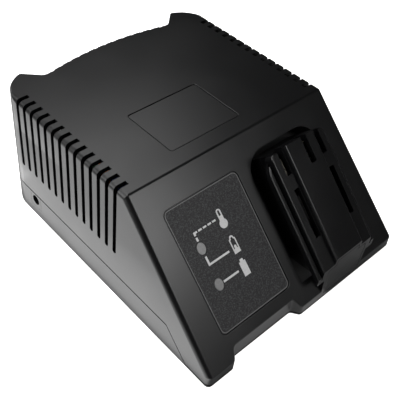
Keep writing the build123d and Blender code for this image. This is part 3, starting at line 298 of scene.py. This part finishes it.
def label_film(name, tint, fleck, roughness, shine=0.5):
    """Printed polycarbonate film: an even ground with fine flecks and a pebbled skin."""
    material, tree = new_material(name, tint)
    place = add(tree, "ShaderNodeTexCoord").outputs["Object"]
    # the real flecks are about 0.3 mm; drawn at 0.7 mm, the finest that still shows
    fine = add(
        tree,
        "ShaderNodeTexNoise",
        {"Vector": place, "Scale": per_mm(0.7), "Detail": 2.0, "Roughness": 0.7},
    )
    spread = add(
        tree,
        "ShaderNodeMapRange",
        {"Value": fine.outputs["Fac"], "From Min": 0.46, "From Max": 0.68},
    )
    shade = add(
        tree,
        "ShaderNodeMix",
        {"Factor": spread.outputs["Result"], "A": rgba(tint), "B": rgba(fleck)},
        data_type="RGBA",
    )
    # pebbles about 0.01 mm high
    bump = add(
        tree,
        "ShaderNodeBump",
        {"Height": fine.outputs["Fac"], "Strength": 1.0, "Distance": 0.01 * MM},
    )
    shader = add(
        tree,
        "ShaderNodeBsdfPrincipled",
        {
            "Base Color": shade.outputs["Result"],
            "Roughness": roughness,
            "Specular IOR Level": shine,
            "Normal": bump.outputs["Normal"],
            "IOR": 1.58,
        },
    )
    close(tree, shader)
    return material


def acrylic(name, tint, glow):
    """Opal acrylic sheet lit from below: an even, pale light."""
    material, tree = new_material(name, tint)
    place = add(tree, "ShaderNodeTexCoord").outputs["Object"]
    # diffusing haze in the sheet, so weak that it is hardly seen
    haze = add(
        tree, "ShaderNodeTexNoise", {"Vector": place, "Scale": per_mm(200.0), "Detail": 1.0}
    )
    level = add(
        tree,
        "ShaderNodeMapRange",
        {"Value": haze.outputs["Fac"], "To Min": glow * 0.98, "To Max": glow * 1.02},
    )
    shader = add(
        tree,
        "ShaderNodeBsdfPrincipled",
        {
            "Base Color": rgba(tint),
            "Roughness": 0.6,
            "Emission Color": rgba((1.0, 1.0, 1.0)),
            "Emission Strength": level.outputs["Result"],
        },
    )
    close(tree, shader)
    return material


def dress(names, material):
    """Gives CAD nodes one finish."""
    for name in names:
        mesh = NODES[name].data
        mesh.materials.clear()
        mesh.materials.append(material)


def slope_frame(sizes):
    """Matrix whose X runs right, whose Y runs up the slope and whose Z points out of it."""
    rise = SHELL_HIGH.z - sizes.rim_level
    angle = math.atan2(rise, sizes.crease_depth)
    up = Vector((0, math.cos(angle), math.sin(angle)))
    out = Vector((0, -math.sin(angle), math.cos(angle)))
    matrix = Matrix((Vector((1, 0, 0)), up, out)).transposed().to_4x4()
    matrix.translation = (0, SHELL_LOW.y + sizes.crease_depth, SHELL_HIGH.z)
    return matrix


def arc(x, s, radius, start, end, steps=16):
    """Points of an arc on the slope, s counted down from the crease; angles in degrees."""
    points = []
    for n in range(steps + 1):
        turn = math.radians(start + (end - start) * n / steps)
        points.append((x + radius * math.cos(turn), s - radius * math.sin(turn)))
    return points


def bar(x0, x1, s0, s1, corner=0.18):
    """Outline of a printed bar with slightly soft corners."""
    spots = (
        (x1 - corner, s0 + corner, 90, 0),
        (x1 - corner, s1 - corner, 0, -90),
        (x0 + corner, s1 - corner, -90, -180),
        (x0 + corner, s0 + corner, 180, 90),
    )
    return [point for x, s, a, b in spots for point in arc(x, s, corner, a, b, 4)]


def lay_film_mark(name, outlines, sizes, material):
    """Flat shape on the status film, for a printed sign and for the painted highlight of its edge;
    an outline inside another is a hole.

    Outlines hold points (x, s) in mm: x from the film's left edge, s down from the crease.
    """
    curve = bpy.data.curves.new(name, "CURVE")
    curve.dimensions = "2D"
    curve.fill_mode = "BOTH"
    curve.extrude = sizes.ink_height / 2
    for outline in outlines:
        spline = curve.splines.new("POLY")
        spline.points.add(len(outline) - 1)
        for point, (x, s) in zip(spline.points, outline):
            point.co = (x * MM, -s * MM, 0, 1)
        spline.use_cyclic_u = True
    flat = bpy.data.objects.new(name + "_outline", curve)
    mesh = bpy.data.meshes.new_from_object(flat)
    bpy.data.objects.remove(flat)
    lift = Matrix.Translation((FILM_LEFT, 0, sizes.film_level + sizes.ink_height / 2))
    mesh.transform(slope_frame(sizes) @ lift)
    mesh.name = name
    mesh.materials.clear()
    mesh.materials.append(material)
    mark = bpy.data.objects.new(name, mesh)
    bpy.context.scene.collection.objects.link(mark)
    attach(mark, "root")


class CHARGER_OT_shell(bpy.types.Operator):
    """Give the two housing halves and the inlet plate their moulded black skin"""

    bl_idname = "charger.shell"
    bl_label = "Finish the housing"

    def execute(self, context):
        colours = context.scene.charger_colours
        # ABS from a spark-textured tool: soft satin that turns light grey where it faces a light
        # painted shade: slots and joints up to 5 mm wide lose their shine and read as black
        skin = moulded("abs_spark_textured", colours.shell, 0.3, relief=0.002, cloud=0.02, painted_shade_reach=5.0)
        dress(("upper_housing", "base_housing", "inlet_plate"), skin)
        return {"FINISHED"}


class CHARGER_OT_rail(bpy.types.Operator):
    """Give the battery rail and its end cap their finish"""

    bl_idname = "charger.rail"
    bl_label = "Finish the battery rail"

    def execute(self, context):
        colours = context.scene.charger_colours
        # ABS from a stoned tool: smoother than the shell, so its edges catch a thin light line
        # painted shade: slots and joints up to 5 mm wide lose their shine and read as black
        skin = moulded("abs_stoned_satin", colours.rail, 0.25, relief=0.001, cloud=0.02, painted_shade_reach=5.0)
        dress(("battery_dock", "dock_end_cap"), skin)
        return {"FINISHED"}


class CHARGER_OT_films(bpy.types.Operator):
    """Give the two label films their print"""

    bl_idname = "charger.films"
    bl_label = "Finish the label films"

    def execute(self, context):
        colours = context.scene.charger_colours
        # polycarbonate, printed behind: dark grey with lighter flecks, matt
        film = label_film("polycarbonate_film_printed", colours.film, colours.fleck, 0.5, 0.3)
        dress(("status_label",), film)
        # polycarbonate in the shell's own black: only its edge shows
        plain = label_film("polycarbonate_film_black", colours.shell, colours.shell, 0.32)
        dress(("top_label",), plain)
        return {"FINISHED"}


class CHARGER_OT_windows(bpy.types.Operator):
    """Give the status windows and the lamps behind them their finish"""

    bl_idname = "charger.windows"
    bl_label = "Finish the status windows"

    def execute(self, context):
        colours = context.scene.charger_colours
        # smoked acrylic, polished: mid grey when the lamp behind it is off
        smoked = moulded("acrylic_smoked", colours.window, 0.3, relief=0.001, IOR=1.49)
        dress(("lens_upper", "lens_lower"), smoked)
        for name, code in (("lamp_upper", "a3221b"), ("lamp_lower", "1f8a3c")):
            # cast epoxy: a coloured, faintly milky body with a glassy skin
            cast = moulded(name.replace("lamp", "epoxy_cast"), linear(code), 0.2, relief=0.001)
            dress((name,), cast)
        return {"FINISHED"}


class CHARGER_OT_marks(bpy.types.Operator):
    """Print the plain signs on the status film and paint a highlight along its edge"""

    bl_idname = "charger.marks"
    bl_label = "Print the status signs"

    def execute(self, context):
        sizes = context.scene.charger_sizes
        # screen ink: light grey, matt, with the soft edge of a stencil
        ink = moulded("screen_ink_grey", context.scene.charger_colours.ink, 0.6, relief=0.001)
        # the lines that run down pass through the middle of the windows
        line_x0, line_x1 = 10.3, 11.5

        tube_x, tube_top, tube = 28.95, 29.8, 1.48
        bulb_s, bulb = 36.5, 2.55
        slit_top, slit_end, slit = 29.7, 32.1, 0.62
        neck = math.degrees(math.acos(tube / bulb))
        thermometer = [
            arc(tube_x, tube_top, tube, 180, 0)
            + arc(tube_x, bulb_s, bulb, neck, neck - 360 + 2 * (90 - neck), 32),
            arc(tube_x, slit_top, slit, 180, 0)
            + [(tube_x + slit, slit_end), (tube_x - slit, slit_end)],
        ]
        lay_film_mark("sign_thermometer", thermometer, sizes, ink)

        dash_s0, dash_s1, dash = 32.2, 33.2, 2.3
        dashes = [bar(x, x + dash, dash_s0, dash_s1) for x in (13.6, 16.75, 19.9, 23.05)]
        dashes.append(bar(line_x0, line_x1, 35.2, 37.3))
        turn_x, turn_s = 12.8, 34.2
        dashes.append(
            [
                (line_x0, dash_s0),
                (turn_x, dash_s0),
                (turn_x, dash_s1),
                (line_x1, dash_s1),
                (line_x1, turn_s),
                (line_x0, turn_s),
            ]
        )
        lay_film_mark("sign_dashed_line", dashes, sizes, ink)

        corner_s, arm_s0, arm_s1, arm_x = 45.8, 49.9, 51.0, 24.6
        corner = [
            (line_x0, corner_s),
            (line_x1, corner_s),
            (line_x1, arm_s0),
            (arm_x, arm_s0),
            (arm_x, arm_s1),
            (line_x0, arm_s1),
        ]
        lay_film_mark("sign_corner_line", [corner], sizes, ink)
        lay_film_mark("sign_straight_line", [bar(13.9, 24.5, 61.4, 62.55)], sizes, ink)

        # battery with its terminal; the opening in it leaves a round mark at the foot
        middle, foot = 29.2, 53.6
        case = [(27.1, foot), (27.1, 45.7), (27.9, 45.1)]
        case += arc(middle, 45.0, 1.3, 180, 0)
        case += [(30.5, 45.1), (31.3, 45.7), (31.3, foot)]
        sill = 51.1
        inner = [(27.8, sill), (27.8, 46.2), (28.5, 45.7)]
        inner += arc(middle, 45.4, 0.7, 180, 0)
        inner += [(29.9, 45.7), (30.6, 46.2), (30.6, sill), (30.1, sill)]
        inner += arc(middle, 49.9, 0.8, -30, 210, 12)
        inner += [(28.3, sill)]
        lay_film_mark("sign_battery_charging", [case, inner], sizes, ink)

        # filled battery: a block with a narrower terminal on it
        shoulder, foot = 58.5, 66.5
        cap_x0, cap_x1 = 27.7, 29.9
        cap = bar(cap_x0, cap_x1, 57.1, 60.0, 0.4)
        full = [(26.7, foot), (26.7, shoulder), (cap_x0, shoulder)]
        full += cap[-5:] + cap[:5]
        full += [(cap_x1, shoulder), (30.9, shoulder), (30.9, foot)]
        lay_film_mark("sign_battery_full", [full], sizes, ink)

        # painted highlight: a thin frame round the film in a greyer ink, standing in for the light
        # that its edge catches
        grey = moulded("painted_edge_highlight_grey", linear("6c6c6c"), 0.45, relief=0.001)
        x0, x1, s0, s1 = 0.15, 49.05, 16.15, 84.9
        line, rounding = 0.35, 2.85
        edge = [
            bar(x0, x1, s0, s1, rounding),
            bar(x0 + line, x1 - line, s0 + line, s1 - line, rounding - line),
        ]
        lay_film_mark("painted_film_edge_highlight", edge, sizes, grey)
        return {"FINISHED"}


class CHARGER_OT_fasteners(bpy.types.Operator):
    """Give screws, contacts and rubber feet their finishes"""

    bl_idname = "charger.fasteners"
    bl_label = "Finish screws, contacts and feet"

    def execute(self, context):
        # zinc-plated steel: pale and slightly milky
        zinc = metal("steel_zinc_plated", linear("b9bcc0"), 0.34)
        screws = ("case_screws", "dock_screws", "board_screws", "status_board_screws")
        dress((*screws, "package_screws"), zinc)
        # nickel-plated brass: warm silver with fine rolling lines along the blade
        nickel = metal("brass_nickel_plated", linear("cfc8b8"), 0.26, grain=(0.2, 3.0, 3.0))
        contacts = ("contact_positive", "contact_sense", "contact_negative")
        dress((*contacts, "inlet_pin", "inlet_tabs", "fuse_clips"), nickel)
        # nitrile rubber, moulded: dull black with a dusty bloom
        rubber = moulded(
            "rubber_moulded", linear("1a1a1a"), 0.85, grain=1.2, relief=0.02, cloud=0.08
        )
        dress(("rubber_feet",), rubber)
        # black nylon, moulded: a little waxy
        nylon = moulded("nylon_moulded_black", linear("171718"), 0.5, relief=0.003)
        dress(("contact_carrier", "inlet_socket"), nylon)
        return {"FINISHED"}


class CHARGER_OT_electronics(bpy.types.Operator):
    """Give the boards and the parts on them their finishes"""

    bl_idname = "charger.electronics"
    bl_label = "Finish the electronics"

    def execute(self, context):
        # glass-epoxy laminate under green solder mask: glossy, with the weave just showing
        mask = moulded("laminate_green_mask", linear("1c5a30"), 0.28, grain=1.5, relief=0.006)
        dress(("circuit_board", "status_board"), mask)
        # aluminium, extruded: fine lines along the fins
        sink = metal("aluminium_extruded", linear("c8cacc"), 0.32, grain=(0.3, 0.3, 8.0))
        dress(("heat_sink",), sink)
        packages = ("power_transistor", "output_rectifier", "control_ic", "chip_components")
        headers = ("input_header", "output_header", "status_header")
        plain = (
            # filled epoxy, moulded: flat charcoal
            ("epoxy_package_moulded", "1d1d1f", 0.6, packages),
            # ferrite, sintered: dense grey-black with a dry skin
            ("ferrite_sintered", "3a3a3d", 0.7, ("choke_core",)),
            # PVC sleeve shrunk on a can: dark blue, soft gloss
            ("pvc_sleeve_shrunk", "1c2747", 0.35, ("input_capacitor", "output_capacitors")),
            # PBT, moulded: clear blue, satin
            ("pbt_moulded_blue", "27408a", 0.4, ("relay",)),
            # epoxy, dipped: brown-red and glossy with rounded skin
            ("epoxy_dipped", "7c3a22", 0.25, ("film_capacitors",)),
            # ceramic cement, cast: chalky white
            ("cement_cast", "d8d4ca", 0.85, ("power_resistor",)),
            # natural nylon, moulded: milky ivory
            ("nylon_moulded_natural", "dcd6c4", 0.45, headers),
        )
        for name, code, roughness, nodes in plain:
            dress(nodes, moulded(name, linear(code), roughness, relief=0.003))
        # copper wire, enamelled: metal seen through amber lacquer
        copper = metal("copper_enamelled", linear("b4622f"), 0.3, grain=(0.5, 0.5, 0.5))
        dress(("choke_winding",), copper)
        # glass tube, drawn: clear with a faint grey body
        glass = moulded(
            "glass_drawn",
            linear("dfe3e3"),
            0.08,
            relief=0.0005,
            cloud=0.02,
            **{"IOR": 1.5, "Transmission Weight": 0.85},
        )
        dress(("fuse",), glass)
        return {"FINISHED"}


class CHARGER_OT_wires(bpy.types.Operator):
    """Give the wires their coloured insulation"""

    bl_idname = "charger.wires"
    bl_label = "Finish the wires"

    def execute(self, context):
        # PVC, extruded: saturated colour with a soft gloss
        positive = ("input_wire_positive", "output_wire_positive", "status_wire_upper")
        negative = ("input_wire_negative", "output_wire_negative", "status_wire_common")
        wires = (
            ("red", "8f1c18", positive),
            ("black", "161616", negative),
            ("yellow", "b99a1e", ("output_wire_sense",)),
            ("green", "1f6b33", ("status_wire_lower",)),
        )
        for shade, code, nodes in wires:
            skin = moulded("pvc_extruded_" + shade, linear(code), 0.38, relief=0.002)
            dress(nodes, skin)
        return {"FINISHED"}


def soft_light(name, spot, aim, size, power):
    """A rectangular softbox at spot that faces aim; lengths in metres, power in watts."""
    lamp = bpy.data.lights.new(name, "AREA")
    lamp.shape = "RECTANGLE"
    lamp.size, lamp.size_y = size
    lamp.energy = power
    light = bpy.data.objects.new(name, lamp)
    light.location = spot
    light.rotation_euler = (Vector(aim) - Vector(spot)).to_track_quat("-Z", "Y").to_euler()
    bpy.context.scene.collection.objects.link(light)


def show_to_camera(piece, shown):
    """Shows a stage piece to the camera alone, or to all rays but the camera's."""
    piece.visible_camera = shown
    for ray in ("diffuse", "glossy", "transmission", "shadow"):
        setattr(piece, "visible_" + ray, not shown)


class CHARGER_OT_studio(bpy.types.Operator):
    """Make the floor, the lights and the camera"""

    bl_idname = "charger.studio"
    bl_label = "Make the studio"

    def execute(self, context):
        scene = context.scene
        studio = scene.charger_studio
        # opal acrylic, cast and lit from below: a plain even white, for the camera alone
        sheet = acrylic("acrylic_opal_lit", studio.floor, studio.glow)
        # fibreboard, painted: matt grey that throws the light back at the charger
        paint = moulded("board_painted_matt", studio.board, 0.9, grain=6.0, relief=0.0, cloud=0.02)
        for name, level, material in (
            ("studio_floor", 0.0, sheet),
            ("studio_board", BOARD_LEVEL, paint),
        ):
            bpy.ops.mesh.primitive_circle_add(
                vertices=SIDES, radius=FLOOR_RADIUS, fill_type="NGON", location=(0, 0, level)
            )
            floor = context.active_object
            floor.name = name
            floor.data.materials.append(material)
            show_to_camera(floor, material == sheet)

        # a plain wall all round closes the view where the floor ends
        bpy.ops.mesh.primitive_cylinder_add(
            vertices=SIDES,
            radius=FLOOR_RADIUS,
            depth=WALL_HEIGHT,
            end_fill_type="NOTHING",
            location=(0, 0, WALL_HEIGHT / 2),
        )
        wall = context.active_object
        wall.name = "studio_wall"
        wall.data.materials.append(sheet)
        show_to_camera(wall, True)

        # softboxes a metre away: degrees above level, and degrees from the right to the back
        for name, height, turn, width, power in (
            ("softbox_left", 32, 165, 0.8, studio.key_power),
            ("softbox_rear", 53, 64, 0.4, studio.rear_power),
            ("softbox_edge", 22, 105, 0.4, studio.edge_power),
            ("softbox_front", 38, 287, 0.4, studio.front_power),
            ("softbox_over", 70, 120, 0.5, studio.top_power),
        ):
            height, turn = math.radians(height), math.radians(turn)
            away = Vector(
                (
                    math.cos(height) * math.cos(turn),
                    math.cos(height) * math.sin(turn),
                    math.sin(height),
                )
            )
            soft_light(name, LIGHT_AT + away, LIGHT_AT, (width, width), power)
        # panels under the lit sheet face up, and the walls of the charger mirror them
        for name, x, y, size, power in (
            ("panel_left", -0.15, 0.17, (0.14, 0.6), studio.panel_power),
            ("panel_rear", -0.13, 0.23, (0.1, 0.26), studio.rear_panel_power),
            ("panel_strip", -0.09, 0.03, (0.024, 0.26), studio.strip_power),
            ("panel_front", -0.015, -0.14, (0.07, 0.1), studio.front_panel_power),
        ):
            soft_light(name, (x, y, PANEL_LEVEL), (x, y, 1), size, power)

        world = bpy.data.worlds.new("studio_air")
        world.use_nodes = True
        tree = world.node_tree
        tree.nodes.clear()
        air = add(tree, "ShaderNodeBackground", {"Color": (1, 1, 1, 1), "Strength": studio.sky})
        add(tree, "ShaderNodeOutputWorld", {"Surface": air.outputs[0]})
        scene.world = world
        scene.view_settings.view_transform = "Standard"

        camera_data = bpy.data.cameras.new("studio_camera")
        camera_data.lens = LENS
        camera_data.sensor_width = SENSOR
        camera_data.shift_x, camera_data.shift_y = SHIFT
        camera_data.clip_start = 0.01
        camera = bpy.data.objects.new("studio_camera", camera_data)
        scene.collection.objects.link(camera)
        flat = math.cos(studio.elevation)
        look = Vector(
            (
                -math.sin(studio.azimuth) * flat,
                math.cos(studio.azimuth) * flat,
                -math.sin(studio.elevation),
            )
        )
        right = look.cross(Vector((0, 0, 1))).normalized()
        upward = right.cross(look)
        turned = math.cos(studio.roll) * right + math.sin(studio.roll) * upward
        upright = math.cos(studio.roll) * upward - math.sin(studio.roll) * right
        matrix = Matrix((turned, upright, -look)).transposed().to_4x4()
        matrix.translation = LOOK_AT - look * studio.distance
        camera.matrix_world = matrix
        scene.camera = camera
        return {"FINISHED"}


OPERATORS = (
    CHARGER_OT_shell,
    CHARGER_OT_rail,
    CHARGER_OT_films,
    CHARGER_OT_windows,
    CHARGER_OT_marks,
    CHARGER_OT_fasteners,
    CHARGER_OT_electronics,
    CHARGER_OT_wires,
    CHARGER_OT_studio,
)


class CHARGER_PT_panel(bpy.types.Panel):
    """Lists the steps that dress the charger"""

    bl_idname = "CHARGER_PT_panel"
    bl_label = "Battery charger"
    bl_space_type = "VIEW_3D"
    bl_region_type = "UI"
    bl_category = "Charger"

    def draw(self, context):
        for group in ("charger_sizes", "charger_colours", "charger_studio"):
            settings = getattr(context.scene, group)
            for name in settings.__annotations__:
                self.layout.prop(settings, name)
        for operator in OPERATORS:
            self.layout.operator(operator.bl_idname)


GROUPS = {
    "charger_sizes": ChargerSizes,
    "charger_colours": ChargerColours,
    "charger_studio": ChargerStudio,
}


def register():
    """Registers the classes and gives the scene its three groups of properties."""
    for item in (*GROUPS.values(), *OPERATORS, CHARGER_PT_panel):
        bpy.utils.register_class(item)
    for name, group in GROUPS.items():
        setattr(bpy.types.Scene, name, bpy.props.PointerProperty(type=group))


def unregister():
    """Takes the properties and the classes back out."""
    for name in GROUPS:
        delattr(bpy.types.Scene, name)
    for item in (CHARGER_PT_panel, *OPERATORS, *GROUPS.values()):
        bpy.utils.unregister_class(item)


def main():
    """Runs every step."""
    register()
    for operator in OPERATORS:
        group, name = operator.bl_idname.split(".")
        getattr(getattr(bpy.ops, group), name)()


if __name__ == "__main__":
    main()
